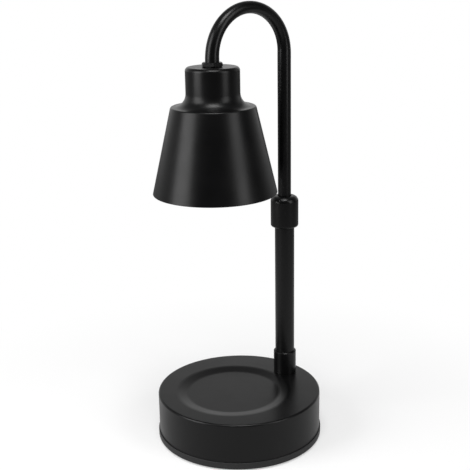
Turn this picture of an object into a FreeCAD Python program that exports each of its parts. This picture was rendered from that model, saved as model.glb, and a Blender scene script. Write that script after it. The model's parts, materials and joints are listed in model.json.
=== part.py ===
import FreeCAD, Part
import Sketcher
import math
import os
import re

# A table lamp that melts a scented candle from above. A weighted round base with a shallow
# dish for the jar carries a post. A goose-neck tube slides and swivels in the post, is held
# by a quarter-turn lock collar, and carries a conical shade round a reflector bulb.
# Millimetres, +Z up. The origin is the middle of the base where it stands. The post is on +X
# and the shade hangs over the dish, towards -X.

doc = FreeCAD.newDocument("CandleWarmerLamp")

drivingSizes = {
    # base
    "coverRadius": 62.5,
    "coverWall": 1.2,
    "coverSkirt": 30,
    "coverEdge": 1.5,
    "dishCentreX": -5.6,
    "dishPostGap": 1.15,
    "dishSlopeWidth": 7.5,
    "dishDepth": 1.5,
    "dishBlend": 9,
    "padRadius": 58,
    "padThickness": 1,
    "panProud": 0.8,
    "panFloor": 3,
    "panRim": 5.2,
    "panChamfer": 0.8,
    "panLipHeight": 2.8,
    "panLipWall": 1.6,
    "weightThickness": 9,
    "bossInset": 8.3,
    "bossRadius": 4,
    "baseScrewRadius": 1.95,
    "baseScrewGrip": 8,
    "baseScrewHeadRadius": 3.8,
    "baseScrewHead": 2.2,
    # cord inlet and joints of the wires
    "glandHeight": 20,
    "glandBore": 3,
    "glandBarrel": 5,
    "glandFlangeRadius": 6.5,
    "glandFlange": 1.6,
    "glandReach": 5.5,
    "glandNutFlats": 12,
    "glandNutThickness": 3,
    "blockLength": 18,
    "blockWidth": 12,
    "blockHeight": 10,
    "blockX": 18,
    "wirePitch": 6,
    "wirePort": 1.8,
    "clampScrewRadius": 1.4,
    "clampScrewDepth": 4,
    "leadRadius": 2,
    "leadHeight": 17,
    "leadBend": 6,
    # post
    "postInset": 15.1,
    "socketRadius": 8.85,
    "socketHeight": 19,
    "socketChamfer": 0.7,
    "socketFloor": 4,
    "stemRadius": 5,
    "stemBore": 3.2,
    "stemLength": 11,
    "postNutFlats": 17,
    "postNutThickness": 6,
    "washerThickness": 1.5,
    "postTubeRadius": 7.5,
    "postTubeWall": 1,
    "postTubeLength": 130,
    "guideLength": 22,
    # lock collar
    "lockSleeveRadius": 8.4,
    "lockSleeveGrip": 10,
    "lockSleeveCap": 2,
    "knobRadius": 10.65,
    "knobHeight": 24.3,
    "knobSkirt": 12,
    "knobCrown": 2.4,
    "knobDome": 4.6,
    "colletWall": 2.3,
    "colletHeight": 5.6,
    "colletSlit": 1.2,
    "camOffset": 0.2,
    # goose-neck arm
    "armRadius": 5,
    "armWall": 0.9,
    "archRadius": 33,
    "armRise": 108.5,
    "ferruleLength": 10,
    "liftUp": 10,
    # shade
    "neckDrop": 5.6,
    "neckRadius": 19.2,
    "neckHeight": 27.8,
    "shoulderRadius": 30.2,
    "coneHeight": 61.6,
    "rimRadius": 44.75,
    "shadeWall": 0.8,
    "neckEdge": 2.6,
    "shoulderEdge": 1.8,
    "ringNutFlats": 13.7,
    "ringNutHeight": 3,
    # lamp holder
    "shadeNutFlats": 14,
    "shadeNutThickness": 3.8,
    "armThreadSpare": 1,
    "bracketSheet": 1.2,
    "bracketHalf": 15,
    "bracketWidth": 14,
    "bracketLeg": 22,
    "holderRadius": 13.4,
    "holderBody": 16,
    "holderCap": 3.5,
    "holderDrop": 9,
    "pinCircle": 5,
    "pinTrack": 9,
    "sideScrewRadius": 1.4,
    "sideScrewLength": 8,
    "sideScrewHeadRadius": 2.8,
    "sideScrewHead": 1.8,
    "sideScrewDrop": 4,
    "contactRadius": 1.8,
    "contactHeight": 1.5,
    # bulb
    "bulbRadius": 25,
    "bulbLip": 1.6,
    "bulbFaceHeight": 2,
    "bulbBodyHeight": 32,
    "bulbBaseRadius": 11,
    "bulbBaseHeight": 14,
    "bulbGlassWall": 1.2,
    "capsuleRadius": 4.5,
    "capsuleHeight": 16,
    "pinRadius": 1.5,
    "pinNeck": 5,
    "pinHeadRadius": 2.4,
    "pinHead": 2.2,
    # clearances
    "runningGap": 0.05,
    "freeGap": 0.3,
    "fitGap": 0.02,
}

workedOut = {
    # base heights, from the surface it stands on
    "panFloorTop": "padThickness + panFloor",
    "seamHeight": "padThickness + panRim",
    "coverTop": "seamHeight + coverSkirt",
    "coverUnder": "coverTop - coverWall",
    "coverInside": "coverRadius - coverWall",
    "dishRimRadius": "postX - dishCentreX - washerRadius",
    "dishFloorRadius": "dishRimRadius - dishSlopeWidth",
    "dishFloor": "coverTop - dishDepth",
    "panRadius": "coverRadius + panProud",
    "panLipRadius": "coverInside - freeGap",
    "weightRadius": "panLipRadius - panLipWall - freeGap",
    "weightTop": "panFloorTop + weightThickness",
    "bossCircle": "coverInside - bossInset",
    "baseScrewTop": "weightTop + baseScrewGrip",
    "baseScrewSeat": "padThickness + baseScrewHead",
    "blockEnd": "blockX + blockLength / 2",
    "glandNutSeat": "sqrt(coverInside ^ 2 - (glandNutFlats / 2) ^ 2) - fitGap",
    # post, its place and its heights
    "postX": "coverRadius - postInset",
    "washerRadius": "socketRadius + dishPostGap",
    "socketTop": "coverTop + socketHeight",
    "postTubeFoot": "coverTop + socketFloor",
    "postTubeTop": "postTubeFoot + postTubeLength",
    "postTubeInside": "postTubeRadius - postTubeWall",
    "stemEnd": "coverUnder - stemLength",
    "washerUnder": "coverUnder - washerThickness",
    "guideFoot": "postTubeTop - guideLength",
    "knobFootHeight": "postTubeTop - knobSkirt",
    "knobTop": "knobFootHeight + knobHeight",
    "knobCrownUnder": "knobTop - knobCrown",
    "knobInside": "lockSleeveRadius + freeGap",
    "lockSeat": "postTubeTop + lockSleeveCap",
    "colletFoot": "lockSeat + freeGap",
    "colletInside": "armRadius + runningGap",
    "colletOutside": "colletInside + colletWall",
    "camInside": "colletOutside + freeGap + camOffset",
    # arm heights
    "archFoot": "knobTop + armRise",
    "shadeX": "postX - 2 * archRadius",
    "archMiddleX": "postX - archRadius",
    "ferruleTop": "guideFoot - freeGap - liftUp",
    "armFoot": "ferruleTop - ferruleLength",
    "armInside": "armRadius - armWall",
    # shade heights
    "neckTop": "archFoot - neckDrop",
    "neckUnder": "neckTop - shadeWall",
    "neckFlare": "shoulderRadius - neckRadius - shoulderEdge",
    "shoulderTop": "neckTop - neckHeight",
    "rimHeight": "shoulderTop - coneHeight",
    "bracketUnder": "neckUnder - bracketSheet",
    "armEnd": "bracketUnder - shadeNutThickness - armThreadSpare",
    "holderTop": "bracketUnder - holderDrop",
    "holderSeat": "holderTop - holderCap",
    "holderFace": "holderSeat - holderBody",
    "sideScrewHeight": "holderSeat - sideScrewDrop",
    # bulb heights
    "bulbTop": "holderFace - freeGap",
    "bulbBaseFoot": "bulbTop - bulbBaseHeight",
    "bulbLipTop": "bulbFaceFoot + bulbFaceHeight + bulbLip",
    "bulbFaceFoot": "bulbBaseFoot - bulbBodyHeight",
    "pinTop": "bulbTop + pinNeck + pinHead",
    "pinTrackTop": "holderFace + pinTrack",
}

sheet = doc.addObject("Spreadsheet::Sheet", "Sizes")
for row, (name, size) in enumerate(drivingSizes.items(), start=1):
    cell = "A" + str(row)
    sheet.set(cell, str(size))
    sheet.setAlias(cell, name)
doc.recompute()

subParts = []


def formula(text):
    """Spells a formula on the named sizes out as an expression on the sheet's cells."""
    def spell(match):
        name = match.group()
        if name in workedOut:
            return "(" + formula(workedOut[name]) + ")"
        if name in drivingSizes:
            return "Sizes." + name
        return name
    return re.sub(r"[A-Za-z]\w*", spell, text)


def number(text):
    """The present value of a formula, for a sketch's first guess and for finding edges."""
    return float(sheet.evalExpression(formula(text)))


def bind(item, **properties):
    """Ties properties of an object to formulas; two underscores stand for a dot."""
    for name, text in properties.items():
        item.setExpression(name.replace("__", "."), formula(text))


def newBody(label, centreX="0"):
    body = doc.addObject("PartDesign::Body", label)
    bind(body, Placement__Base__x=centreX)
    subParts.append(body)
    return body


def newSketch(body, role, shiftX="0", shiftY="0", shiftZ="0"):
    """A sketch on one of the body's own origin planes, moved along the plane's axes."""
    sketch = body.newObject("Sketcher::SketchObject", body.Name + "_outline")
    plane = next(f for f in body.Origin.OriginFeatures if f.Role == role)
    sketch.AttachmentSupport = [(plane, "")]
    sketch.MapMode = "FlatFace"
    bind(
        sketch,
        AttachmentOffset__Base__x=shiftX,
        AttachmentOffset__Base__y=shiftY,
        AttachmentOffset__Base__z=shiftZ,
    )
    return sketch


def bindPoint(sketch, item, end, place):
    """Holds one end of a line, or the middle of a round item, at two formulas."""
    for kind, text in zip(("DistanceX", "DistanceY"), place):
        index = sketch.addConstraint(Sketcher.Constraint(kind, -1, 1, item, end, number(text)))
        sketch.setExpression("Constraints[" + str(index) + "]", formula(text))


def point(place):
    return FreeCAD.Vector(number(place[0]), number(place[1]), 0)


def drawOutline(sketch, corners):
    """A closed outline of straight lines through the corners."""
    count = len(corners)
    for i in range(count):
        sketch.addGeometry(Part.LineSegment(point(corners[i]), point(corners[(i + 1) % count])))
    for i in range(count):
        sketch.addConstraint(Sketcher.Constraint("Coincident", i, 2, (i + 1) % count, 1))
        bindPoint(sketch, i, 1, corners[i])


def drawCircle(sketch, middle, radius):
    index = sketch.addGeometry(Part.Circle(point(middle), FreeCAD.Vector(0, 0, 1), number(radius)))
    bindPoint(sketch, index, 3, middle)
    size = sketch.addConstraint(Sketcher.Constraint("Radius", index, number(radius)))
    sketch.setExpression("Constraints[" + str(size) + "]", formula(radius))


def spin(body, sketch, axis="V_Axis", kind="PartDesign::Revolution"):
    turn = body.newObject(kind, body.Name + "_turn")
    turn.Profile = sketch
    turn.ReferenceAxis = (sketch, [axis])
    turn.Angle = 360
    doc.recompute()
    return turn


def turned(label, corners, centreX="0"):
    """A piece turned about an upright axis, from corners of (radius, height)."""
    body = newBody(label, centreX)
    sketch = newSketch(body, "XZ_Plane")
    drawOutline(sketch, corners)
    spin(body, sketch)
    return body


def ring(label, inside, outside, foot, top, centreX="0"):
    corners = [(inside, foot), (outside, foot), (outside, top), (inside, top)]
    return turned(label, corners, centreX)


def roundEdges(body, radius, places, kind="PartDesign::Fillet"):
    """Rounds or chamfers the circular edges that have these (radius, height) places."""
    base = body.Tip
    wanted = [point(place) for place in places]
    names = []
    for index, edge in enumerate(base.Shape.Edges, start=1):
        if isinstance(edge.Curve, Part.Circle):
            here = FreeCAD.Vector(edge.Curve.Radius, edge.Curve.Center.z, 0)
            if any(here.isEqual(place, 0.001) for place in wanted):
                names.append("Edge" + str(index))
    finish = body.newObject(kind, body.Name + "_edge")
    finish.Base = (base, names)
    bind(finish, **{"Radius" if kind.endswith("Fillet") else "Size": radius})
    doc.recompute()
    return finish


def cutRound(body, radius, height, placeX="0", placeY="0", placeZ="0", alongX=False):
    """Bores a round hole upwards from a place, or towards +X."""
    hole = body.newObject("PartDesign::SubtractiveCylinder", body.Name + "_bore")
    if alongX:
        hole.Placement.Rotation = FreeCAD.Rotation(FreeCAD.Vector(0, 1, 0), 90)
    bind(
        hole,
        Radius=radius,
        Height=height,
        Placement__Base__x=placeX,
        Placement__Base__y=placeY,
        Placement__Base__z=placeZ,
    )
    doc.recompute()
    return hole


def repeatRound(body, feature, count):
    """Repeats a feature about the body's upright axis."""
    pattern = body.newObject("PartDesign::PolarPattern", body.Name + "_pattern")
    pattern.Originals = [feature]
    axis = next(f for f in body.Origin.OriginFeatures if f.Role == "Z_Axis")
    pattern.Axis = (axis, [""])
    pattern.Angle = 360
    pattern.Occurrences = count
    body.Tip = pattern
    doc.recompute()
    return pattern


def hexNut(label, flats, bore, thickness, placeX, placeZ, alongX=False):
    """A six-sided nut whose lower or inner face is at the place."""
    prism = doc.addObject("Part::Prism", label + "_prism")
    prism.Polygon = 6
    hole = doc.addObject("Part::Cylinder", label + "_hole")
    nut = doc.addObject("Part::Cut", label)
    for tool in (prism, hole):
        if alongX:
            tool.Placement.Rotation = FreeCAD.Rotation(FreeCAD.Vector(0, 1, 0), 90)
        bind(tool, Height=thickness, Placement__Base__x=placeX, Placement__Base__z=placeZ)
    bind(prism, Circumradius="(" + flats + ") / sqrt(3)")
    bind(hole, Radius=bore)
    nut.Base = prism
    nut.Tool = hole
    subParts.append(nut)
    return nut


def drawBentPath(sketch, corners, centre, radius, angles):
    """Two straight runs joined by an arc between two angles; corners are the runs' ends."""
    first = sketch.addGeometry(Part.LineSegment(point(corners[0]), point(corners[1])))
    circle = Part.Circle(point(centre), FreeCAD.Vector(0, 0, 1), number(radius))
    arc = sketch.addGeometry(Part.ArcOfCircle(circle, angles[0], angles[1]))
    last = sketch.addGeometry(Part.LineSegment(point(corners[2]), point(corners[3])))
    bindPoint(sketch, first, 1, corners[0])
    bindPoint(sketch, first, 2, corners[1])
    bindPoint(sketch, last, 1, corners[2])
    bindPoint(sketch, last, 2, corners[3])
    meetsFirst, meetsLast = (1, 2) if circle.value(angles[0]).isEqual(point(corners[1]), 0.001) else (2, 1)
    sketch.addConstraint(Sketcher.Constraint("Coincident", arc, meetsFirst, first, 2))
    sketch.addConstraint(Sketcher.Constraint("Coincident", arc, meetsLast, last, 1))
    hold = sketch.addConstraint(Sketcher.Constraint("DistanceY", -1, 1, arc, 3, number(centre[1])))
    sketch.setExpression("Constraints[" + str(hold) + "]", formula(centre[1]))


def drawArmPath(sketch, foot, end):
    """Up the post's axis from the foot, over the arch and down the shade's axis to the end."""
    corners = [("postX", foot), ("postX", "archFoot"), ("shadeX", "archFoot"), ("shadeX", end)]
    drawBentPath(sketch, corners, ("archMiddleX", "archFoot"), "archRadius", (0, math.pi))


def sweep(body, path, radius, foot, placeX, kind="PartDesign::AdditivePipe"):
    """A round section of this radius swept along a path that starts upright at the foot."""
    section = newSketch(body, "XY_Plane", shiftZ=foot)
    drawCircle(section, (placeX, "0"), radius)
    pipe = body.newObject(kind, body.Name + "_pipe")
    pipe.Profile = section
    pipe.Spine = (path, ["Edge" + str(i + 1) for i in range(path.GeometryCount)])
    pipe.Transition = "Transformed"
    doc.recompute()
    return pipe


# Base: the stamped cover. Its top is pressed down into a dish with a soft slope round it.
baseCover = turned("base_cover", [
    ("0", "coverUnder"),
    ("coverInside", "coverUnder"),
    ("coverInside", "seamHeight"),
    ("coverRadius", "seamHeight"),
    ("coverRadius", "coverTop"),
    ("0", "coverTop"),
])
roundEdges(baseCover, "coverEdge", [("coverRadius", "coverTop")])
dishUnder = newSketch(baseCover, "XZ_Plane", shiftX="dishCentreX")
drawOutline(dishUnder, [
    ("0", "dishFloor - coverWall"),
    ("dishFloorRadius", "dishFloor - coverWall"),
    ("dishRimRadius", "coverUnder"),
    ("dishRimRadius", "coverTop - coverWall / 2"),
    ("0", "coverTop - coverWall / 2"),
])
spin(baseCover, dishUnder)
dishCut = newSketch(baseCover, "XZ_Plane", shiftX="dishCentreX")
drawOutline(dishCut, [
    ("0", "dishFloor"),
    ("dishFloorRadius", "dishFloor"),
    ("dishRimRadius", "coverTop"),
    ("0", "coverTop"),
])
spin(baseCover, dishCut, kind="PartDesign::Groove")
roundEdges(baseCover, "dishBlend", [("dishFloorRadius", "dishFloor"), ("dishRimRadius", "coverTop")])
cutRound(baseCover, "stemRadius + freeGap / 2", "coverWall * 3", placeX="postX",
         placeZ="coverUnder - coverWall")
cutRound(baseCover, "glandBarrel + freeGap / 2", "coverWall * 3", placeX="coverInside - coverWall",
         placeZ="glandHeight", alongX=True)

# Base: the moulded pan under the cover, its lip inside the cover's skirt.
basePan = turned("base_pan", [
    ("0", "padThickness"),
    ("panRadius - panChamfer", "padThickness"),
    ("panRadius", "padThickness + panChamfer"),
    ("panRadius", "seamHeight"),
    ("panLipRadius", "seamHeight"),
    ("panLipRadius", "seamHeight + panLipHeight"),
    ("panLipRadius - panLipWall", "seamHeight + panLipHeight"),
    ("panLipRadius - panLipWall", "panFloorTop"),
    ("0", "panFloorTop"),
])
for radius, depth in (("baseScrewHeadRadius + freeGap", "baseScrewHead"),
                      ("baseScrewRadius + freeGap", "panFloor")):
    hole = cutRound(basePan, radius, depth, placeX="-bossCircle", placeZ="padThickness")
    repeatRound(basePan, hole, 3)

turned("base_pad", [("0", "0"), ("padRadius", "0"), ("padRadius", "padThickness"), ("0", "padThickness")])

# Base: the iron weight on the pan, held under the cover's three bosses by screws from below.
weight = turned("base_weight", [
    ("0", "panFloorTop"),
    ("weightRadius", "panFloorTop"),
    ("weightRadius", "weightTop"),
    ("0", "weightTop"),
])
hole = cutRound(weight, "baseScrewRadius + freeGap", "weightThickness", placeX="-bossCircle",
                placeZ="panFloorTop")
repeatRound(weight, hole, 3)

bosses = newBody("cover_bosses")
sketch = newSketch(bosses, "XZ_Plane", shiftX="-bossCircle")
drawOutline(sketch, [
    ("baseScrewRadius + fitGap", "weightTop"),
    ("bossRadius", "weightTop"),
    ("bossRadius", "coverUnder"),
    ("0", "coverUnder"),
    ("0", "baseScrewTop + freeGap"),
    ("baseScrewRadius + fitGap", "baseScrewTop + freeGap"),
])
repeatRound(bosses, spin(bosses, sketch), 3)

baseScrews = newBody("base_screws")
sketch = newSketch(baseScrews, "XZ_Plane", shiftX="-bossCircle")
drawOutline(sketch, [
    ("0", "padThickness"),
    ("baseScrewHeadRadius", "padThickness"),
    ("baseScrewHeadRadius", "baseScrewSeat"),
    ("baseScrewRadius", "baseScrewSeat"),
    ("baseScrewRadius", "baseScrewTop"),
    ("0", "baseScrewTop"),
])
repeatRound(baseScrews, spin(baseScrews, sketch), 3)

# Base: the cord's gland in the skirt behind the post, and its nut inside.
gland = newBody("cord_gland")
sketch = newSketch(gland, "XZ_Plane", shiftY="glandHeight")
drawOutline(sketch, [
    ("coverInside - glandReach", "glandBore"),
    ("coverRadius + glandFlange", "glandBore"),
    ("coverRadius + glandFlange", "glandFlangeRadius"),
    ("coverRadius", "glandFlangeRadius"),
    ("coverRadius", "glandBarrel"),
    ("coverInside - glandReach", "glandBarrel"),
])
spin(gland, sketch, axis="H_Axis")
hexNut("gland_nut", "glandNutFlats", "glandBarrel + fitGap", "glandNutThickness",
       "glandNutSeat - glandNutThickness", "glandHeight", alongX=True)

# Base: the terminal block on the weight, with two wire ports and their clamp screws.
block = newBody("terminal_block")
solid = block.newObject("PartDesign::AdditiveBox", "terminal_block_box")
bind(
    solid,
    Length="blockLength",
    Width="blockWidth",
    Height="blockHeight",
    Placement__Base__x="blockX - blockLength / 2",
    Placement__Base__y="-blockWidth / 2",
    Placement__Base__z="weightTop",
)
doc.recompute()
clampHeight = "weightTop + blockHeight - clampScrewDepth"
for side in ("wirePitch / 2", "-wirePitch / 2"):
    cutRound(block, "wirePort", "blockLength", placeX="blockX - blockLength / 2", placeY=side,
             placeZ="weightTop + wirePort * 2", alongX=True)
    cutRound(block, "clampScrewRadius + fitGap", "clampScrewDepth", placeX="blockX", placeY=side,
             placeZ=clampHeight)

clampScrews = newBody("terminal_screws", "blockX")
sketch = newSketch(clampScrews, "YZ_Plane", shiftX="wirePitch / 2")
drawOutline(sketch, [
    ("0", clampHeight),
    ("clampScrewRadius", clampHeight),
    ("clampScrewRadius", "weightTop + blockHeight"),
    ("0", "weightTop + blockHeight"),
])
repeatRound(clampScrews, spin(clampScrews, sketch), 2)

# Post: the socket whose threaded stem goes through the cover, its washer and its nut.
socket = turned("post_socket", [
    ("stemBore", "stemEnd"),
    ("stemRadius", "stemEnd"),
    ("stemRadius", "coverTop"),
    ("socketRadius", "coverTop"),
    ("socketRadius", "socketTop"),
    ("postTubeRadius + fitGap", "socketTop"),
    ("postTubeRadius + fitGap", "postTubeFoot"),
    ("stemBore", "postTubeFoot"),
], "postX")
roundEdges(socket, "socketChamfer", [("socketRadius", "socketTop")], kind="PartDesign::Chamfer")
ring("post_washer", "stemRadius + freeGap / 2", "washerRadius", "washerUnder", "coverUnder", "postX")
hexNut("post_nut", "postNutFlats", "stemRadius + fitGap", "postNutThickness", "postX",
       "washerUnder - postNutThickness")

# Post: the fixed tube, the guide bush inside its top, and the lock's sleeve over its top.
ring("post_tube", "postTubeInside", "postTubeRadius", "postTubeFoot", "postTubeTop", "postX")
ring("guide_bush", "armRadius + runningGap", "postTubeInside - fitGap", "guideFoot", "postTubeTop",
     "postX")
turned("lock_sleeve", [
    ("postTubeRadius + fitGap", "postTubeTop - lockSleeveGrip"),
    ("lockSleeveRadius", "postTubeTop - lockSleeveGrip"),
    ("lockSleeveRadius", "lockSeat"),
    ("armRadius + freeGap", "lockSeat"),
    ("armRadius + freeGap", "postTubeTop"),
    ("postTubeRadius + fitGap", "postTubeTop"),
], "postX")

# Lock: the knob, the cam ring pressed into it, and the split collet that grips the arm.
knob = turned("lock_knob", [
    ("knobInside", "knobFootHeight"),
    ("knobRadius", "knobFootHeight"),
    ("knobRadius", "knobTop"),
    ("armRadius + freeGap", "knobTop"),
    ("armRadius + freeGap", "knobCrownUnder"),
    ("knobInside", "knobCrownUnder"),
], "postX")
roundEdges(knob, "knobDome", [("knobRadius", "knobTop")])
roundEdges(knob, "knobRadius - knobInside - freeGap", [("knobRadius", "knobFootHeight")])
camRing = turned("lock_cam", [
    ("0", "colletFoot"),
    ("knobInside - fitGap", "colletFoot"),
    ("knobInside - fitGap", "knobCrownUnder"),
    ("0", "knobCrownUnder"),
], "postX")
cutRound(camRing, "camInside", "knobCrownUnder - colletFoot", placeX="camOffset", placeZ="colletFoot")
collet = ring("lock_collet", "colletInside", "colletOutside", "colletFoot",
              "colletFoot + colletHeight", "postX")
slit = collet.newObject("PartDesign::SubtractiveBox", "lock_collet_slit")
bind(
    slit,
    Length="colletOutside",
    Width="colletSlit",
    Height="colletHeight",
    Placement__Base__y="-colletSlit / 2",
    Placement__Base__z="colletFoot",
)

# Arm: the goose-neck tube and the sliding ferrule on its lower end.
gooseneck = newBody("gooseneck")
path = newSketch(gooseneck, "XZ_Plane")
drawArmPath(path, "armFoot", "armEnd")
sweep(gooseneck, path, "armRadius", "armFoot", "postX")
sweep(gooseneck, path, "armInside", "armFoot", "postX", kind="PartDesign::SubtractivePipe")
ring("arm_ferrule", "armRadius + fitGap", "postTubeInside - runningGap", "armFoot", "ferruleTop",
     "postX")

# Shade: neck, shoulder and cone in one spun sheet, the same wall inside and out.
shade = turned("shade", [
    ("armRadius + freeGap / 2", "neckTop"),
    ("neckRadius", "neckTop"),
    ("neckRadius", "shoulderTop"),
    ("shoulderRadius", "shoulderTop"),
    ("rimRadius", "rimHeight"),
    ("rimRadius - shadeWall", "rimHeight"),
    ("shoulderRadius - shadeWall", "shoulderTop - shadeWall"),
    ("neckRadius - shadeWall", "shoulderTop - shadeWall"),
    ("neckRadius - shadeWall", "neckUnder"),
    ("armRadius + freeGap / 2", "neckUnder"),
], "shadeX")
roundEdges(shade, "neckEdge", [("neckRadius", "neckTop")])
roundEdges(shade, "neckEdge - shadeWall", [("neckRadius - shadeWall", "neckUnder")])
roundEdges(shade, "neckFlare", [("neckRadius", "shoulderTop")])
roundEdges(shade, "neckFlare + shadeWall", [("neckRadius - shadeWall", "shoulderTop - shadeWall")])
roundEdges(shade, "shoulderEdge", [("shoulderRadius", "shoulderTop")])
roundEdges(shade, "shoulderEdge - shadeWall",
           [("shoulderRadius - shadeWall", "shoulderTop - shadeWall")])
hexNut("ring_nut", "ringNutFlats", "armRadius + fitGap", "ringNutHeight", "shadeX", "neckTop")
hexNut("shade_nut", "shadeNutFlats", "armRadius + fitGap", "shadeNutThickness", "shadeX",
       "bracketUnder - shadeNutThickness")

# Lamp holder: the bracket under the shade's top, bent down on both sides of the holder.
bracket = newBody("holder_bracket", "shadeX")
sketch = newSketch(bracket, "XZ_Plane")
legFoot = "bracketUnder - bracketLeg"
drawOutline(sketch, [
    ("-bracketHalf", legFoot),
    ("bracketSheet - bracketHalf", legFoot),
    ("bracketSheet - bracketHalf", "bracketUnder"),
    ("bracketHalf - bracketSheet", "bracketUnder"),
    ("bracketHalf - bracketSheet", legFoot),
    ("bracketHalf", legFoot),
    ("bracketHalf", "neckUnder"),
    ("-bracketHalf", "neckUnder"),
])
strap = bracket.newObject("PartDesign::Pad", "holder_bracket_strap")
strap.Profile = sketch
strap.SideType = "Symmetric"
bind(strap, Length="bracketWidth")
doc.recompute()
cutRound(bracket, "armRadius + freeGap / 2", "bracketSheet", placeZ="bracketUnder")
cutRound(bracket, "sideScrewRadius + freeGap / 2", "bracketHalf * 2", placeX="-bracketHalf",
         placeZ="sideScrewHeight", alongX=True)

# Lamp holder: the ceramic body with a round track for the bulb's pins, and its cap.
holder = turned("lamp_holder", [
    ("0", "holderFace"),
    ("holderRadius", "holderFace"),
    ("holderRadius", "holderSeat"),
    ("0", "holderSeat"),
], "shadeX")
track = newSketch(holder, "XZ_Plane")
drawOutline(track, [
    ("pinCircle - pinHeadRadius - freeGap", "holderFace"),
    ("pinCircle + pinHeadRadius + freeGap", "holderFace"),
    ("pinCircle + pinHeadRadius + freeGap", "pinTrackTop"),
    ("pinCircle - pinHeadRadius - freeGap", "pinTrackTop"),
])
spin(holder, track, kind="PartDesign::Groove")
hole = cutRound(holder, "sideScrewRadius + fitGap", "sideScrewLength",
                placeX="holderRadius - sideScrewLength + bracketSheet", placeZ="sideScrewHeight",
                alongX=True)
repeatRound(holder, hole, 2)
ring("holder_cap", "leadRadius + freeGap", "holderRadius", "holderSeat", "holderTop", "shadeX")

sideScrews = newBody("bracket_screws", "shadeX")
sketch = newSketch(sideScrews, "XZ_Plane", shiftY="sideScrewHeight")
drawOutline(sketch, [
    ("bracketHalf - sideScrewLength", "0"),
    ("bracketHalf + sideScrewHead", "0"),
    ("bracketHalf + sideScrewHead", "sideScrewHeadRadius"),
    ("bracketHalf", "sideScrewHeadRadius"),
    ("bracketHalf", "sideScrewRadius"),
    ("bracketHalf - sideScrewLength", "sideScrewRadius"),
])
repeatRound(sideScrews, spin(sideScrews, sketch, axis="H_Axis"), 2)

contacts = newBody("holder_contacts", "shadeX")
sketch = newSketch(contacts, "XZ_Plane", shiftX="pinCircle")
drawOutline(sketch, [
    ("0", "pinTrackTop - contactHeight"),
    ("contactRadius", "pinTrackTop - contactHeight"),
    ("contactRadius", "pinTrackTop"),
    ("0", "pinTrackTop"),
])
repeatRound(contacts, spin(contacts, sketch), 2)

# Bulb: ceramic base, two headed pins, reflector, front glass and the capsule inside.
ring("bulb_base", "capsuleRadius / 2", "bulbBaseRadius", "bulbBaseFoot", "bulbTop", "shadeX")
pins = newBody("bulb_pins", "shadeX")
sketch = newSketch(pins, "XZ_Plane", shiftX="pinCircle")
drawOutline(sketch, [
    ("0", "bulbTop"),
    ("pinRadius", "bulbTop"),
    ("pinRadius", "bulbTop + pinNeck"),
    ("pinHeadRadius", "bulbTop + pinNeck"),
    ("pinHeadRadius", "pinTop"),
    ("0", "pinTop"),
])
repeatRound(pins, spin(pins, sketch), 2)
turned("bulb_reflector", [
    ("bulbBaseRadius - bulbGlassWall", "bulbBaseFoot"),
    ("bulbBaseRadius", "bulbBaseFoot"),
    ("bulbRadius - bulbLip", "bulbLipTop"),
    ("bulbRadius", "bulbLipTop"),
    ("bulbRadius", "bulbFaceFoot"),
    ("bulbRadius - bulbGlassWall", "bulbFaceFoot"),
    ("bulbRadius - bulbGlassWall", "bulbFaceFoot + bulbFaceHeight"),
    ("bulbRadius - bulbLip - bulbGlassWall", "bulbLipTop"),
], "shadeX")
turned("bulb_glass", [
    ("0", "bulbFaceFoot"),
    ("bulbRadius - bulbGlassWall - fitGap", "bulbFaceFoot"),
    ("bulbRadius - bulbGlassWall - fitGap", "bulbFaceFoot + bulbFaceHeight"),
    ("0", "bulbFaceFoot + bulbFaceHeight"),
], "shadeX")
turned("bulb_capsule", [
    ("0", "bulbBaseFoot - capsuleHeight"),
    ("capsuleRadius", "bulbBaseFoot - capsuleHeight"),
    ("capsuleRadius", "bulbBaseFoot"),
    ("0", "bulbBaseFoot"),
], "shadeX")

# Wires inside: along the base and up the stem, slack in the post, and over the goose-neck.
baseLead = newBody("base_lead")
path = newSketch(baseLead, "XZ_Plane")
bendX = "postX - leadBend"
drawBentPath(
    path,
    [
        ("postX", "postTubeFoot"),
        ("postX", "leadHeight + leadBend"),
        (bendX, "leadHeight"),
        ("blockEnd", "leadHeight"),
    ],
    (bendX, "leadHeight + leadBend"),
    "leadBend",
    (-math.pi / 2, 0),
)
sweep(baseLead, path, "leadRadius", "postTubeFoot", "postX")

turned("post_lead", [
    ("0", "postTubeFoot"),
    ("leadRadius", "postTubeFoot"),
    ("leadRadius", "armFoot"),
    ("0", "armFoot"),
], "postX")

armLead = newBody("arm_lead")
path = newSketch(armLead, "XZ_Plane")
drawArmPath(path, "armFoot", "holderSeat")
sweep(armLead, path, "leadRadius", "armFoot", "postX")

doc.recompute()

for item in doc.Objects:
    if "Invalid" in item.State or "Error" in item.State:
        raise RuntimeError(item.Label + " did not build")
for piece in subParts:
    if piece.Shape.isNull() or not piece.Shape.isValid() or not piece.Shape.Solids:
        raise RuntimeError(piece.Label + " has no valid solid")

os.makedirs("parts", exist_ok=True)
for piece in subParts:
    piece.Shape.exportStep(os.path.join("parts", piece.Label + ".step"))
    box = piece.Shape.BoundBox
    print(piece.Label, len(piece.Shape.Solids), round(piece.Shape.Volume, 1),
          [round(v, 2) for v in (box.XMin, box.XMax, box.YMin, box.YMax, box.ZMin, box.ZMax)])
print("slide range", round(number("postTubeFoot - armFoot"), 2), number("liftUp"))
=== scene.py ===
import json
import math

import bmesh
import bpy
from mathutils import Matrix, Vector


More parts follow.
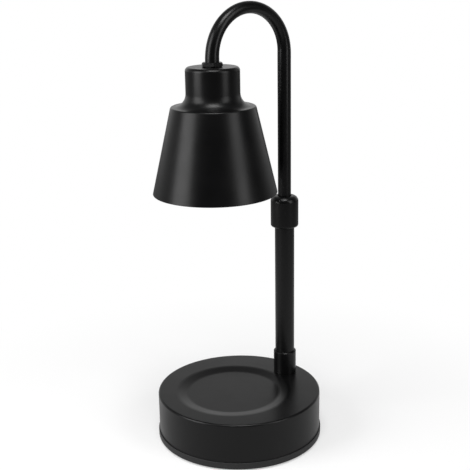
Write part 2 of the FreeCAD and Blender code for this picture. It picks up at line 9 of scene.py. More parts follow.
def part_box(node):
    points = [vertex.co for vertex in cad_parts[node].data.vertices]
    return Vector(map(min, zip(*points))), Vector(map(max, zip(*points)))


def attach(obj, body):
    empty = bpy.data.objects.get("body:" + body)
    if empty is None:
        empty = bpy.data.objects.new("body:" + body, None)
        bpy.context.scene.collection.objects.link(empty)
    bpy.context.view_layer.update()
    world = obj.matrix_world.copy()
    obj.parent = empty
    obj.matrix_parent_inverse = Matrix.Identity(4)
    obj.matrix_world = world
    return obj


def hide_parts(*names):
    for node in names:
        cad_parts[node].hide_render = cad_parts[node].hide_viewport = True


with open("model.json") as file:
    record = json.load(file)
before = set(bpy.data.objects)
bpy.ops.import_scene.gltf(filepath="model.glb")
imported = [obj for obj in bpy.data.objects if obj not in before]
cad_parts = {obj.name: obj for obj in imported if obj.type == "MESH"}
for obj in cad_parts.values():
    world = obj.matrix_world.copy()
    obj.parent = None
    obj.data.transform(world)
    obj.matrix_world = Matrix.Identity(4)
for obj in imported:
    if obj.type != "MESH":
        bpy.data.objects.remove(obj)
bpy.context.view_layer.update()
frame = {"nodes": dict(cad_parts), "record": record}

millimetre = 0.001

# How the camera stands, and where the soft lights are, seen from the lamp.
# Angles are in degrees round from the camera, lengths in metres, the lens and its sensor in millimetres.
camera = {
    "azimuth": -38.0,
    "distance": 0.6683,
    "aside": -0.00102,
    "height": 0.3578,
    "pitch": 16.48,
    "roll": -1.014,
    "lens": 71.95,
    "sensor": 36,
    "clipStart": 0.01,
}
lightAim = Vector((0, 0, 0.17))
lights = {
    "stripLeft": {"round": -65, "height": 0.55, "away": 1.0, "width": 0.62, "tall": 0.94, "watts": 9.3},
    "stripRight": {"round": 54, "height": 0.55, "away": 1.0, "width": 0.42, "tall": 0.94, "watts": 4.1},
    "overhead": {"round": 0, "height": 1.45, "away": 0.45, "width": 0.56, "tall": 0.56, "watts": 11.5},
}

# The floor and the backdrop: the camera sees them white, and mirrored rays see the values given here.
stage = {
    "half": 4.0,
    "colour": 0.92,
    "rough": 0.9,
    "shadow": 0.55,             # how much of the lamp's own shadow shows within clear; past far none does
    "clear": 0.10,
    "far": 0.32,
    "ambient": 0.24,
    "lit": 0.12,                # the floor mirrors brightly as far as lit, and darkly from unlit on
    "unlit": 0.75,
    "litColour": 0.55,
    "unlitColour": 0.02,
    "nearFloor": 0.42,
    "frontFloor": 0.05,
    "backFloor": 0.20,
    "floorSweep": 0.6,          # from frontFloor to backFloor over this far on each side
    "room": 0.015,
    "backdrop": 0.88,
    "backdropTurn": 6.0,
    "backdropStart": -0.2,      # cosine of the angle from the backdrop's middle where it begins
    "backdropTop": (0.37, 0.52),
    "aboveBackdrop": 0.35,
}


class Wire:
    # one output of a shader node, so that shader maths reads as plain arithmetic
    def __init__(self, tree, socket=None):
        self.tree = tree
        self.socket = socket

    def make(self, kind, settings=None, values=None, output=0):
        # any other node: its settings first, then the values or links of its sockets
        node = self.tree.nodes.new(kind)
        for name, value in (settings or {}).items():
            setattr(node, name, value)
        for key, value in (values or {}).items():
            if isinstance(value, Wire):
                value.feed(node.inputs[key])
            else:
                node.inputs[key].default_value = value
        return Wire(self.tree, node.outputs[output])

    def maths(self, operation, first, second=0.0):
        return self.make("ShaderNodeMath", {"operation": operation}, {0: first, 1: second})

    def __add__(self, other):
        return self.maths("ADD", self, other)

    def __sub__(self, other):
        return self.maths("SUBTRACT", self, other)

    def __rsub__(self, other):
        return self.maths("SUBTRACT", other, self)

    def __mul__(self, other):
        return self.maths("MULTIPLY", self, other)

    __radd__ = __add__
    __rmul__ = __mul__

    def between(self, low, high, lowest=0.0, highest=1.0):
        # remaps low..high to lowest..highest with soft ends
        return self.make(
            "ShaderNodeMapRange",
            {"interpolation_type": "SMOOTHSTEP"},
            {"Value": self, "From Min": low, "From Max": high, "To Min": lowest, "To Max": highest},
        )

    def mixColour(self, first, second):
        return self.make("ShaderNodeMix", {"data_type": "RGBA"}, {0: self, 6: first, 7: second}, output=2)

    def feed(self, socket):
        self.tree.links.new(self.socket, socket)


def grey(level, blue=1.0):
    # a grey, with its blue raised a little where it is a cool one
    return (level, level, level * blue, 1.0)


def newFinish(name, **uniform):
    # a material, its shader and the place on the piece, with what is the same all over set on the shader
    material = bpy.data.materials.new(name)
    material.use_nodes = True
    tree = material.node_tree
    shader = tree.nodes["Principled BSDF"]
    for socketName, value in uniform.items():
        shader.inputs[socketName.replace("_", " ")].default_value = value
    place = Wire(tree).make("ShaderNodeTexCoord", output="Object")
    return material, shader, place


def noise(place, scale, detail=2.0, rough=0.5, stretch=None):
    spot = place
    if stretch:
        spot = place.make("ShaderNodeMapping", None, {"Vector": place, "Scale": stretch})
    values = {"Vector": spot, "Scale": scale, "Detail": detail, "Roughness": rough}
    return place.make("ShaderNodeTexNoise", None, values)


def bump(height, strength, distance):
    values = {"Height": height, "Strength": strength, "Distance": distance}
    return height.make("ShaderNodeBump", None, values)


coat = {"dark": grey(0.0021, 1.06), "pale": grey(0.0031, 1.05), "smoothest": 0.275, "roughest": 0.325}


def powderCoat(name):
    # satin powder coat: a faint orange peel, finer grains in it and a slow drift of the sheen
    material, shader, place = newFinish(name, Specular_IOR_Level=0.25)
    peel = noise(place, 620, 1.5)
    grain = noise(place, 2600, 2.0)
    drift = noise(place, 45, 2.0)
    drift.mixColour(coat["dark"], coat["pale"]).feed(shader.inputs["Base Color"])
    patchy = drift.between(0.3, 0.7, coat["smoothest"], coat["roughest"])
    (patchy + grain.between(0.35, 0.65, 0.0, 0.03)).feed(shader.inputs["Roughness"])
    bump(peel * 0.7 + grain * 0.3, 0.06, 0.05 * millimetre).feed(shader.inputs["Normal"])
    return material


def mouldedBlack(name):
    # moulded plastic with a fine spark-eroded grain
    material, shader, place = newFinish(name, Specular_IOR_Level=0.35)
    grain = noise(place, 3200, 3.0, 0.6)
    flow = noise(place, 60, 3.0)
    flow.mixColour((0.010, 0.010, 0.0105, 1), (0.015, 0.015, 0.0155, 1)).feed(shader.inputs["Base Color"])
    (grain.between(0.3, 0.7, 0.0, 0.12) + 0.44).feed(shader.inputs["Roughness"])
    bump(grain, 0.18, 0.06 * millimetre).feed(shader.inputs["Normal"])
    return material


def foamPad(name):
    # closed-cell pad: small cells with a dull skin
    material, shader, place = newFinish(name, Specular_IOR_Level=0.25)
    cells = place.make("ShaderNodeTexVoronoi", {"feature": "SMOOTH_F1"}, {"Vector": place, "Scale": 1400.0})
    patches = noise(place, 120, 3.0)
    patches.mixColour((0.012, 0.012, 0.012, 1), (0.022, 0.022, 0.023, 1)).feed(shader.inputs["Base Color"])
    (patches * 0.1 + 0.8).feed(shader.inputs["Roughness"])
    bump(cells, 0.5, 0.15 * millimetre).feed(shader.inputs["Normal"])
    return material


def castIron(name):
    # raw cast iron: sand texture, a little rust in the hollows
    material, shader, place = newFinish(name)
    sand = noise(place, 900, 4.0, 0.65)
    rust = noise(place, 140, 4.0, 0.6).between(0.55, 0.72)
    rust.mixColour((0.11, 0.105, 0.10, 1), (0.16, 0.075, 0.035, 1)).feed(shader.inputs["Base Color"])
    (1.0 - rust * 0.8).feed(shader.inputs["Metallic"])
    (sand * 0.25 + 0.5).feed(shader.inputs["Roughness"])
    bump(sand, 0.6, 0.25 * millimetre).feed(shader.inputs["Normal"])
    return material


def platedSteel(name):
    # zinc-plated steel with faint rolling lines
    material, shader, place = newFinish(name, Metallic=1.0)
    lines = noise(place, 900, 3.0, 0.6, (1.0, 0.12, 1.0))
    cloud = noise(place, 180, 3.0)
    cloud.mixColour((0.52, 0.53, 0.54, 1), (0.66, 0.66, 0.64, 1)).feed(shader.inputs["Base Color"])
    (lines * 0.16 + 0.26).feed(shader.inputs["Roughness"])
    bump(lines, 0.12, 0.04 * millimetre).feed(shader.inputs["Normal"])
    return material


def naturalNylon(name):
    # undyed nylon: milky, slightly uneven in colour
    material, shader, place = newFinish(name, Specular_IOR_Level=0.45, Subsurface_Weight=0.15)
    shader.inputs["Subsurface Radius"].default_value = (0.002, 0.002, 0.0015)
    cloud = noise(place, 240, 3.0)
    cloud.mixColour((0.62, 0.60, 0.54, 1), (0.74, 0.72, 0.67, 1)).feed(shader.inputs["Base Color"])
    (cloud * 0.12 + 0.38).feed(shader.inputs["Roughness"])
    bump(noise(place, 2400, 2.0), 0.12, 0.04 * millimetre).feed(shader.inputs["Normal"])
    return material


def plainBrass(name):
    # uncoated brass, stained in patches
    material, shader, place = newFinish(name, Metallic=1.0)
    stain = noise(place, 420, 3.0, 0.6)
    stain.mixColour((0.56, 0.38, 0.13, 1), (0.76, 0.57, 0.26, 1)).feed(shader.inputs["Base Color"])
    (stain * 0.2 + 0.2).feed(shader.inputs["Roughness"])
    bump(stain, 0.1, 0.03 * millimetre).feed(shader.inputs["Normal"])
    return material


def lampCeramic(name):
    # unglazed lamp ceramic: off-white with small dark specks and a dry, fine grain
    material, shader, place = newFinish(name, Specular_IOR_Level=0.4)
    body = noise(place, 160, 4.0, 0.6)
    specks = noise(place, 1500, 2.0, 0.5).between(0.70, 0.78)
    base = body.mixColour((0.74, 0.71, 0.64, 1), (0.84, 0.82, 0.76, 1))
    specks.mixColour(base, (0.42, 0.38, 0.32, 1)).feed(shader.inputs["Base Color"])
    (body * 0.15 + 0.55).feed(shader.inputs["Roughness"])
    bump(noise(place, 2200, 3.0, 0.6), 0.25, 0.05 * millimetre).feed(shader.inputs["Normal"])
    return material


def mirrorCoat(name):
    # aluminised glass of the reflector: bright, with a faint bluish drift of the coating
    material, shader, place = newFinish(name, Metallic=1.0)
    drift = noise(place, 90, 2.0)
    drift.mixColour((0.80, 0.82, 0.86, 1), (0.90, 0.90, 0.89, 1)).feed(shader.inputs["Base Color"])
    (drift * 0.06 + 0.07).feed(shader.inputs["Roughness"])
    bump(noise(place, 700, 2.0), 0.05, 0.05 * millimetre).feed(shader.inputs["Normal"])
    return material


def clearGlass(name):
    # pressed glass with a faint ripple
    material, shader, place = newFinish(name, Transmission_Weight=1.0, IOR=1.47)
    ripple = noise(place, 150, 2.0)
    ripple.mixColour((0.95, 0.97, 0.97, 1), (0.99, 0.99, 0.99, 1)).feed(shader.inputs["Base Color"])
    (ripple * 0.04 + 0.01).feed(shader.inputs["Roughness"])
    bump(ripple, 0.08, 0.1 * millimetre).feed(shader.inputs["Normal"])
    return material


def leadSheath(name):
    # soft sheath with scuffs drawn out along it
    material, shader, place = newFinish(name, Specular_IOR_Level=0.4)
    scuff = noise(place, 500, 3.0, 0.6, (1.0, 1.0, 0.2))
    scuff.mixColour((0.014, 0.014, 0.015, 1), (0.028, 0.028, 0.029, 1)).feed(shader.inputs["Base Color"])
    (scuff * 0.18 + 0.42).feed(shader.inputs["Roughness"])
    bump(scuff, 0.15, 0.05 * millimetre).feed(shader.inputs["Normal"])
    return material


finishes = {
    "powder_black": powderCoat("powderBlack"),
    "moulded_black": mouldedBlack("mouldedBlack"),
    "pad_foam": foamPad("padFoam"),
    "iron": castIron("castIron"),
    "plated_steel": platedSteel("platedSteel"),
    "pale_nylon": naturalNylon("paleNylon"),
    "brass": plainBrass("plainBrass"),
    "ceramic": lampCeramic("lampCeramic"),
    "mirrored_glass": mirrorCoat("mirrorCoat"),
    "clear_glass": clearGlass("clearGlass"),
    "lead_sheath": leadSheath("leadSheath"),
}

# Every node of the frame gets its slot's finish. Those that are modelled again below are hidden.
nodeSlots = {entry["node"]: entry["material_slot"] for entry in frame["record"]["subparts"]}
nodeBodies = {
    node: body
    for body, nodes in frame["record"]["behaviour"]["bodies"].items()
    for node in nodes
}
for node, item in frame["nodes"].items():
    for slot in item.material_slots:
        slot.material = finishes[nodeSlots[node]]
print("finishes ready on", len(frame["nodes"]), "nodes of the frame")

# How outlines are drawn: arcs in steps of so many degrees, and points merged when nearer than this.
drawing = {"straight": 0.02, "arcStep": 8, "merge": 0.000002, "thin": 0.000001, "seam": 0.00001}


def turnedBox(node):
    # middle on X, largest radius, foot and top of an upright turned node
    low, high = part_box(node)
    return (low.x + high.x) / 2, (high.x - low.x) / 2, low.z, high.z


def roundCorner(bm, vert, radius):
    # replaces a corner of an outline by an arc of this radius
    first, second = [(edge.other_vert(vert).co - vert.co).normalized() for edge in vert.link_edges]
    turn = math.pi - first.angle(second)
    if turn < drawing["straight"]:
        return
    bmesh.ops.bevel(
        bm, geom=[vert], offset=radius * math.tan(turn / 2), offset_type="OFFSET", affect="VERTICES",
        segments=max(2, math.ceil(math.degrees(turn) / drawing["arcStep"])), profile=0.5, material=-1,
    )


def drawOutline(bm, corners, middleX, closed, axis):
    # corners are (radius, height, rounding); with axis X, height runs along X
    verts = []
    for radius, height, _ in corners:
        spot = (middleX + radius, 0.0, height) if axis == "Z" else (height, 0.0, middleX + radius)
        verts.append(bm.verts.new(spot))
    ends = list(zip(verts, verts[1:])) + ([(verts[-1], verts[0])] if closed else [])
    for first, second in ends:
        onAxis = all(corners[verts.index(v)][0] == 0 for v in (first, second))
        if not onAxis:
            bm.edges.new((first, second))
    for vert, corner in zip(list(verts), corners):
        if corner[2]:
            roundCorner(bm, vert, corner[2])


def spinOutline(bm, corners, middleX, steps, closed=True, axis="Z"):
    # draws an outline in an empty mesh and spins it all the way round
    drawOutline(bm, corners, middleX, closed, axis)
    centre = (middleX, 0, 0) if axis == "Z" else (0, 0, middleX)
    bmesh.ops.spin(
        bm, geom=bm.verts[:] + bm.edges[:], cent=centre, axis=(0, 0, 1) if axis == "Z" else (1, 0, 0),
        angle=2 * math.pi, steps=steps, use_merge=True, use_duplicate=False,
    )
    bmesh.ops.remove_doubles(bm, verts=bm.verts, dist=drawing["merge"])


def showPiece(bm, node, crease=32, wall=None):
    # turns the mesh into the piece that stands for a node, riding on that node's body;
    # edges sharper than the crease stay sharp, and a wall is given inwards
    bmesh.ops.dissolve_degenerate(bm, dist=drawing["thin"], edges=bm.edges)
    bmesh.ops.recalc_face_normals(bm, faces=bm.faces)
    mesh = bpy.data.meshes.new(node + "_shown")
    bm.to_mesh(mesh)
    bm.free()
    mesh.shade_smooth()
    mesh.set_sharp_from_angle(angle=math.radians(crease))
    mesh.materials.append(finishes[nodeSlots[node]])
    piece = bpy.data.objects.new(mesh.name, mesh)
    bpy.context.scene.collection.objects.link(piece)
    if wall:
        solidify = piece.modifiers.new("Solidify", "SOLIDIFY")
        solidify.thickness = wall
        solidify.offset = -1.0
    even = piece.modifiers.new("Even", "WEIGHTED_NORMAL")
    even.keep_sharp = True
    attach(piece, nodeBodies[node])
    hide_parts(node)


postX, postRadius, postFoot, postTop = turnedBox("post_tube")
shadeX, rimRadius, rimHeight, neckTop = turnedBox("shade")

# Base cover: the pressed dish is spun about its own middle, the rim and skirt about the base's.
# The dish's margin is drawn out to where the rim begins, which makes the flat top between them.
cover = {
    "edge": 1.5 * millimetre,
    "wall": 1.2 * millimetre,
    "slope": 7.5 * millimetre,
    "blend": 14 * millimetre,
    "margin": 1.6 * millimetre,
    "rimBand": 4.0 * millimetre,
    "steps": 224,
}


def addTo(bm, other):
    mesh = bpy.data.meshes.new("joined")
    other.to_mesh(mesh)
    other.free()
    bm.from_mesh(mesh)
    bpy.data.meshes.remove(mesh)


def addDish(bm, drop, dishX, dishFloor, rimBand):
    # one side of the pressed dish, its margin drawn out to the circle where the rim begins
    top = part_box("base_cover")[1].z - drop
    dishRim = postX - dishX - turnedBox("post_washer")[1]
    margin = dishRim + cover["margin"]
    dish = bmesh.new()
    spinOutline(dish, [
        (0, dishFloor - drop, 0),
        (dishRim - cover["slope"], dishFloor - drop, cover["blend"]),
        (dishRim, top, cover["blend"]),
        (margin, top, 0),
    ], dishX, cover["steps"], closed=False)
    drawn = bmesh.ops.extrude_edge_only(dish, edges=[e for e in dish.edges if e.is_boundary])["geom"]
    edge = [item for item in drawn if isinstance(item, bmesh.types.BMVert)]
    bmesh.ops.translate(dish, vec=(-dishX, 0, 0), verts=edge)
    bmesh.ops.scale(dish, vec=(rimBand / margin, rimBand / margin, 1), verts=edge)
    addTo(bm, dish)


def buildBaseCover():
    low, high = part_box("base_cover")
    seat = next(m for m in frame["record"]["mounts"] if m["name"] == "candle_seat")
    dishX, _, dishFloor = seat["pos_m"]
    rimBand = high.x - cover["rimBand"]
    inside = high.x - cover["wall"]
    bm = bmesh.new()
    spinOutline(bm, [
        (rimBand, high.z, 0),
        (high.x, high.z, cover["edge"]),
        (high.x, low.z, 0),
        (inside, low.z, 0),
        (inside, high.z - cover["wall"], cover["edge"] - cover["wall"]),
        (rimBand, high.z - cover["wall"], 0),
    ], 0.0, cover["steps"], closed=False)
    for drop in (0.0, cover["wall"]):
        addDish(bm, drop, dishX, dishFloor, rimBand)
    bmesh.ops.remove_doubles(bm, verts=bm.verts, dist=drawing["seam"])
    showPiece(bm, "base_cover")


buildBaseCover()

pan = {
    "foot": 0.9 * millimetre,
    "ledge": 0.35 * millimetre,
    "lipGap": 0.3 * millimetre,
    "lipWall": 1.6 * millimetre,
    "floor": 3 * millimetre,
}


def buildBasePan():
    _, radius, foot, top = turnedBox("base_pan")
    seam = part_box("base_cover")[0].z
    lip = turnedBox("base_cover")[1] - cover["wall"] - pan["lipGap"]
    bm = bmesh.new()
    spinOutline(bm, [
        (0, foot, 0),
        (radius, foot, pan["foot"]),
        (radius, seam, pan["ledge"]),
        (lip, seam, 0),
        (lip, top, pan["ledge"]),
        (lip - pan["lipWall"], top, pan["ledge"]),
        (lip - pan["lipWall"], foot + pan["floor"], 0),
        (0, foot + pan["floor"], 0),
    ], 0.0, cover["steps"])
    showPiece(bm, "base_pan")


buildBasePan()

pad = {"edge": 0.3 * millimetre, "steps": 128}


def buildBasePad():
    _, radius, foot, top = turnedBox("base_pad")
    bm = bmesh.new()
    spinOutline(bm, [
        (0, foot, 0),
        (radius, foot, pad["edge"]),
        (radius, top, 0),
        (0, top, 0),
    ], 0.0, pad["steps"])
    showPiece(bm, "base_pad")


buildBasePad()
print("base ready")

socket = {
    "stem": 5 * millimetre,
    "bore": 3.2 * millimetre,
    "chamfer": 0.7 * millimetre,
    "soft": 0.25 * millimetre,
    "floor": 4 * millimetre,
    "fit": 0.02 * millimetre,
    "steps": 96,
}


def buildPostSocket():
    _, radius, foot, top = turnedBox("post_socket")
    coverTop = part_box("base_cover")[1].z
    inside = postRadius + socket["fit"]
    bm = bmesh.new()
    spinOutline(bm, [
        (socket["bore"], foot, 0),
        (socket["stem"], foot, 0),
        (socket["stem"], coverTop, 0),
        (radius, coverTop, socket["soft"]),
        (radius, top - socket["chamfer"], socket["soft"]),
        (radius - socket["chamfer"], top, socket["soft"]),
        (inside, top, 0),
        (inside, coverTop + socket["floor"], 0),
        (socket["bore"], coverTop + socket["floor"], 0),
    ], postX, socket["steps"])
    showPiece(bm, "post_socket")


buildPostSocket()

post = {"wall": 1 * millimetre, "edge": 0.2 * millimetre, "steps": 96}


def buildPostTube():
    inside = postRadius - post["wall"]
    bm = bmesh.new()
    spinOutline(bm, [
        (inside, postFoot, 0),
        (postRadius, postFoot, 0),
        (postRadius, postTop, post["edge"]),
        (inside, postTop, post["edge"]),
    ], postX, post["steps"])
    showPiece(bm, "post_tube")


buildPostTube()

knob = {
    "dome": 4.4 * millimetre,
    "foot": 1.6 * millimetre,
    "crown": 2.4 * millimetre,
    "lip": 0.35 * millimetre,
    "mouth": 0.15 * millimetre,
    "sleeveGap": 0.3 * millimetre,
    "ferruleOverlap": 1.15 * millimetre,
    "steps": 96,
}


def buildLockKnob():
    _, radius, foot, top = turnedBox("lock_knob")
    inside = turnedBox("lock_sleeve")[1] + knob["sleeveGap"]
    hole = turnedBox("arm_ferrule")[1] - knob["ferruleOverlap"]
    bm = bmesh.new()
    spinOutline(bm, [
        (inside, foot, knob["mouth"]),
        (radius, foot, knob["foot"]),
        (radius, top, knob["dome"]),
        (hole, top, knob["lip"]),
        (hole, top - knob["crown"], 0),
        (inside, top - knob["crown"], 0),
    ], postX, knob["steps"])
    showPiece(bm, "lock_knob")


buildLockKnob()

# The goose-neck: a circle drawn up the post, spun over the arch and drawn down to the shade.
# Bending has flattened the tube over the arch, most at its top.
neck = {
    "wall": 0.9 * millimetre,
    "pastNut": 1 * millimetre,
    "sides": 64,
    "archSteps": 72,
    "legSteps": 4,
    "flat": 0.13,
    "flatSpread": 0.7,
}


def drawOut(bm, edges, rise, steps):
    # draws an open end out in steps, and gives back the new end's edges and points
    for _ in range(steps):
        drawn = bmesh.ops.extrude_edge_only(bm, edges=edges)["geom"]
        edges = [item for item in drawn if isinstance(item, bmesh.types.BMEdge)]
        verts = [item for item in drawn if isinstance(item, bmesh.types.BMVert)]
        bmesh.ops.translate(bm, vec=(0, 0, rise / steps), verts=verts)
    return edges + verts


def flattenArch(bm, archMiddle, archRadius):
    for vert in bm.verts:
        spoke = vert.co - archMiddle
        if spoke.z > 0:
            reach = math.hypot(spoke.x, spoke.z)
            upright = math.sin(math.atan2(spoke.z, abs(spoke.x)))
            squeeze = neck["flat"] * upright ** neck["flatSpread"]
            wanted = archRadius + (reach - archRadius) * (1 - squeeze)
            vert.co.x = archMiddle.x + spoke.x * wanted / reach
            vert.co.z = archMiddle.z + spoke.z * wanted / reach


def buildGooseneck():
    low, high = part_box("gooseneck")
    radius = high.y
    archRadius = (postX - shadeX) / 2
    archMiddle = Vector(((postX + shadeX) / 2, 0, high.z - archRadius - radius))
    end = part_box("shade_nut")[0].z - neck["pastNut"]
    bm = bmesh.new()
    ring = bmesh.ops.create_circle(bm, segments=neck["sides"], radius=radius)["verts"]
    bmesh.ops.translate(bm, vec=(postX, 0, low.z), verts=ring)
    legEnd = drawOut(bm, bm.edges[:], archMiddle.z - low.z, neck["legSteps"])
    arch = bmesh.ops.spin(
        bm, geom=legEnd, cent=archMiddle, axis=(0, -1, 0), angle=math.pi, steps=neck["archSteps"],
        use_merge=False, use_duplicate=False,
    )["geom_last"]
    last = [item for item in arch if isinstance(item, bmesh.types.BMEdge)]
    drawOut(bm, last, end - archMiddle.z, neck["legSteps"])
    bmesh.ops.remove_doubles(bm, verts=bm.verts, dist=drawing["merge"])
    flattenArch(bm, archMiddle, archRadius)
    showPiece(bm, "gooseneck", wall=neck["wall"])


buildGooseneck()

# The thin hexagon nut on the shade: its corners are turned off above and below.
nut = {"slope": 30, "land": 0.95, "fit": 0.02 * millimetre, "steps": 72, "crease": 20}


def buildRingNut():
    low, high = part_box("ring_nut")
    flat = min(high.x - low.x, high.y - low.y) / 2
    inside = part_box("gooseneck")[1].y + nut["fit"]
    land = flat * nut["land"]
    sixth = math.pi / 3
    start = sixth / 2 if high.x - low.x > high.y - low.y else 0
    rings = []
    bm = bmesh.new()
    for step in range(nut["steps"]):
        turn = 2 * math.pi * step / nut["steps"]
        fromFlat = (turn + start) % sixth
        side = flat / math.cos(min(fromFlat, sixth - fromFlat))
        cut = (side - land) * math.tan(math.radians(nut["slope"]))
        outline = [
            (inside, low.z),
            (land, low.z),
            (side, low.z + cut),
            (side, high.z - cut),
            (land, high.z),
            (inside, high.z),
        ]
        ring = []
        for reach, height in outline:
            spot = (shadeX + reach * math.cos(turn), reach * math.sin(turn), height)
            ring.append(bm.verts.new(spot))
        rings.append(ring)
    for first, second in zip(rings, rings[1:] + rings[:1]):
        for spot in range(len(first)):
            after = (spot + 1) % len(first)
            bm.faces.new((first[spot], first[after], second[after], second[spot]))
    showPiece(bm, "ring_nut", crease=nut["crease"])


buildRingNut()

# Shade: one sheet spun to neck, shoulder and cone, its rim rolled to a small bead.
shade = {
    "wall": 0.8 * millimetre,
    "holeFit": 0.15 * millimetre,
    "neckRadius": 19.2 * millimetre,
    "neckEdge": 2.6 * millimetre,
    "neckHeight": 27.5 * millimetre,
    "shoulderRadius": 30.2 * millimetre,
    "shoulderEdge": 1.2 * millimetre,
    "flare": 9.2 * millimetre,
    "rimEdge": 0.12 * millimetre,
    "bead": 0.5 * millimetre,
    "beadEdge": 0.35 * millimetre,
    "beadHeight": 1.4 * millimetre,
    "steps": 192,
}


def buildShade():
    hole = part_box("gooseneck")[1].y + shade["holeFit"]
    wall = shade["wall"]
    shoulder = neckTop - shade["neckHeight"]
    inner = shade["neckRadius"] - wall
    bead = rimRadius - wall - shade["bead"]
    bm = bmesh.new()
    spinOutline(bm, [
        (hole, neckTop, 0),
        (shade["neckRadius"], neckTop, shade["neckEdge"]),
        (shade["neckRadius"], shoulder, shade["flare"]),
        (shade["shoulderRadius"], shoulder, shade["shoulderEdge"]),
        (rimRadius, rimHeight, shade["rimEdge"]),
        (bead, rimHeight, shade["beadEdge"]),
        (bead, rimHeight + shade["beadHeight"], shade["beadEdge"]),
        (shade["shoulderRadius"] - wall, shoulder - wall, shade["shoulderEdge"] - wall),
        (inner, shoulder - wall, shade["flare"] + wall),
        (inner, neckTop - wall, shade["neckEdge"] - wall),
        (hole, neckTop - wall, 0),
    ], shadeX, shade["steps"])
    showPiece(bm, "shade")


buildShade()
print("post, arm and shade ready")

gland = {
    "bore": 3 * millimetre,
    "barrel": 5 * millimetre,
    "mouth": 0.5 * millimetre,
    "edge": 0.6 * millimetre,
    "heel": 0.15 * millimetre,
    "steps": 72,
}


def buildCordGland():
    low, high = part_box("cord_gland")
    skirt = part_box("base_cover")[1].x
    axisHeight = (low.z + high.z) / 2
    flange = (high.z - low.z) / 2
    bm = bmesh.new()
    spinOutline(bm, [
        (gland["bore"], low.x, 0),
        (gland["bore"], high.x, gland["mouth"]),
        (flange, high.x, gland["edge"]),
        (flange, skirt, gland["heel"]),
        (gland["barrel"], skirt, 0),
        (gland["barrel"], low.x, 0),
    ], axisHeight, gland["steps"], axis="X")
    showPiece(bm, "cord_gland")


buildCordGland()

# Bulb: seen from below through the shade's mouth.
reflector = {
    "wall": 1.2 * millimetre,
    "lip": 1.6 * millimetre,
    "lipHeight": 3.6 * millimetre,
    "lipEdge": 0.4 * millimetre,
    "glassSeat": 2 * millimetre,
    "waist": 5.5 * millimetre,      # how far it has widened from the throat at waistHeight
    "waistHeight": 0.62,
    "curve": 14 * millimetre,
    "steps": 72,
    "crease": 3,
}
glass = {"edge": 0.3 * millimetre, "steps": 96}
capsule = {"tip": 0.8, "edge": 0.3 * millimetre, "steps": 48}
bulbBase = {
    "foot": 0.4 * millimetre,
    "shoulder": 4 * millimetre,
    "cone": 3 * millimetre,
    "step": 1.2 * millimetre,
    "stepEdge": 0.3 * millimetre,
    "topEdge": 0.6 * millimetre,
    "steps": 72,
}


def buildReflector():
    _, radius, foot, top = turnedBox("bulb_reflector")
    throat = turnedBox("bulb_base")[1]
    wall = reflector["wall"]
    lip = foot + reflector["lipHeight"]
    waist = throat + reflector["waist"]
    waistHeight = foot + (top - foot) * reflector["waistHeight"]
    bm = bmesh.new()
    spinOutline(bm, [
        (throat - wall, top, 0),
        (throat, top, 0),
        (waist, waistHeight, reflector["curve"]),
        (radius - reflector["lip"], lip, 0),
        (radius, lip, reflector["lipEdge"]),
        (radius, foot, reflector["lipEdge"]),
        (radius - wall, foot, 0),
        (radius - wall, foot + reflector["glassSeat"], 0),
        (radius - reflector["lip"] - wall, lip, 0),
        (waist - wall, waistHeight, reflector["curve"]),
    ], shadeX, reflector["steps"])
    showPiece(bm, "bulb_reflector", crease=reflector["crease"])


def buildBulbGlass():
    _, radius, foot, top = turnedBox("bulb_glass")
    bm = bmesh.new()
    spinOutline(bm, [
        (0, foot, 0),
        (radius, foot, glass["edge"]),
        (radius, top, glass["edge"]),
        (0, top, 0),
    ], shadeX, glass["steps"])
    showPiece(bm, "bulb_glass")


def buildCapsule():
    _, radius, foot, top = turnedBox("bulb_capsule")
    bm = bmesh.new()
    spinOutline(bm, [
        (0, foot, 0),
        (radius, foot, radius * capsule["tip"]),
        (radius, top, capsule["edge"]),
        (0, top, 0),
    ], shadeX, capsule["steps"])
    showPiece(bm, "bulb_capsule")


def buildBulbBase():
    _, radius, foot, top = turnedBox("bulb_base")
    stepRadius = radius - bulbBase["step"]
    bm = bmesh.new()
    spinOutline(bm, [
        (0, foot, 0),
        (radius, foot, bulbBase["foot"]),
        (radius, top - bulbBase["shoulder"], bulbBase["stepEdge"]),
        (stepRadius, top - bulbBase["cone"], bulbBase["stepEdge"]),
        (stepRadius, top, bulbBase["topEdge"]),
        (0, top, 0),
    ], shadeX, bulbBase["steps"])
    showPiece(bm, "bulb_base")


buildReflector()
buildBulbGlass()
buildCapsule()
buildBulbBase()
print("gland and bulb ready")


def ahead(azimuth=camera["azimuth"]):
    # the level direction in which a camera at this azimuth looks
    turn = math.radians(azimuth)
    return Vector((-math.sin(turn), math.cos(turn), 0))


def setCamera():
    forward = ahead()
    right = forward.cross((0, 0, 1))
    data = bpy.data.cameras.new("camera")
    data.sensor_width = camera["sensor"]
    data.lens = camera["lens"]
    data.clip_start = camera["clipStart"]
    eye = bpy.data.objects.new("camera", data)
    bpy.context.scene.collection.objects.link(eye)
    pitch = math.radians(camera["pitch"])
    look = forward * math.cos(pitch) - Vector((0, 0, math.sin(pitch)))
    level = look.to_track_quat("-Z", "Y")
    roll = Matrix.Rotation(math.radians(camera["roll"]), 4, "Z").to_quaternion()
    eye.rotation_mode = "QUATERNION"
    eye.rotation_quaternion = level @ roll
    rise = Vector((0, 0, camera["height"]))
    eye.location = forward * -camera["distance"] + right * camera["aside"] + rise
    bpy.context.scene.camera = eye


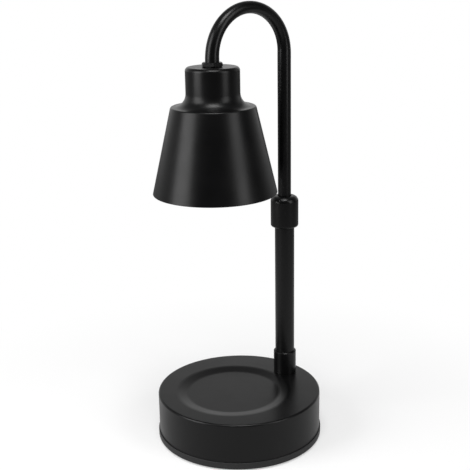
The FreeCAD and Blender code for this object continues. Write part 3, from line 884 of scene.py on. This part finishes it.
def addLight(name, plan):
    toLight = -ahead(camera["azimuth"] + plan["round"])
    place = toLight * plan["away"] + Vector((0, 0, plan["height"]))
    data = bpy.data.lights.new(name, "AREA")
    data.shape = "RECTANGLE"
    data.size = plan["width"]
    data.size_y = plan["tall"]
    data.energy = plan["watts"]
    lamp = bpy.data.objects.new(name, data)
    bpy.context.scene.collection.objects.link(lamp)
    lamp.location = place
    lamp.rotation_mode = "QUATERNION"
    lamp.rotation_quaternion = (lightAim - place).to_track_quat("-Z", "Y")


def rayKind(start, name):
    # 1 for rays of this kind, else 0
    return start.make("ShaderNodeLightPath", output="Is " + name + " Ray")


def backgroundGlow(start, glossy):
    # 1 for rays from the camera and through glass; mirrored rays see glossy; others none
    plain = start.maths("MINIMUM", rayKind(start, "Camera") + rayKind(start, "Transmission"), 1.0)
    return start.maths("MINIMUM", plain + rayKind(start, "Glossy") * glossy, 1.0)


def along(spot, way):
    # how far a place or a direction lies along a way
    return spot.make("ShaderNodeVectorMath", {"operation": "DOT_PRODUCT"}, {0: spot, 1: way}, output=1)


def buildFloor():
    bm = bmesh.new()
    bmesh.ops.create_grid(bm, x_segments=1, y_segments=1, size=stage["half"])
    mesh = bpy.data.meshes.new("floor")
    bm.to_mesh(mesh)
    bm.free()
    floor = bpy.data.objects.new("floor", mesh)
    bpy.context.scene.collection.objects.link(floor)
    material, shader, place = newFinish("paleFloor", Roughness=stage["rough"], Specular_IOR_Level=0.1)
    tree = material.node_tree
    distance = place.make("ShaderNodeVectorMath", {"operation": "LENGTH"}, {0: place}, output=1)
    mirrored = distance.between(stage["lit"], stage["unlit"], stage["litColour"], stage["unlitColour"])
    rayKind(place, "Glossy").mixColour(grey(stage["colour"]), mirrored).feed(shader.inputs["Base Color"])
    far = distance.between(stage["clear"], stage["far"], 1.0 - stage["shadow"], 1.0)
    sweep = stage["floorSweep"]
    glossy = distance.between(stage["lit"], stage["unlit"], stage["nearFloor"], 0.0)
    glossy += along(place, ahead()).between(-sweep, sweep, stage["frontFloor"], stage["backFloor"])
    glow = place.make("ShaderNodeEmission", None, {"Color": grey(1.0), "Strength": 1.0})
    surface = Wire(tree, shader.outputs[0])
    share = backgroundGlow(place, glossy) * far
    mix = place.make("ShaderNodeMixShader", None, {0: share, 1: surface, 2: glow})
    mix.feed(tree.nodes["Material Output"].inputs[0])
    mesh.materials.append(material)


def buildBackdrop():
    world = bpy.data.worlds.new("studio")
    bpy.context.scene.world = world
    world.use_nodes = True
    tree = world.node_tree
    background = tree.nodes["Background"]
    background.inputs["Color"].default_value = grey(1.0)
    direction = Wire(tree).make("ShaderNodeTexCoord", output="Generated")
    low, high = stage["backdropTop"]
    behind = along(direction, ahead(camera["azimuth"] + stage["backdropTurn"]))
    glossy = behind.between(stage["backdropStart"], 1.0, stage["room"], stage["backdrop"])
    glossy *= along(direction, (0, 0, 1)).between(low, high, 1.0, stage["aboveBackdrop"])
    seen = backgroundGlow(direction, glossy)
    (seen + rayKind(direction, "Diffuse") * stage["ambient"]).feed(background.inputs["Strength"])


setCamera()
for lightName, plan in lights.items():
    addLight(lightName, plan)
buildFloor()
buildBackdrop()
bpy.context.scene.view_settings.view_transform = "Standard"
print("camera, lights and stage ready")
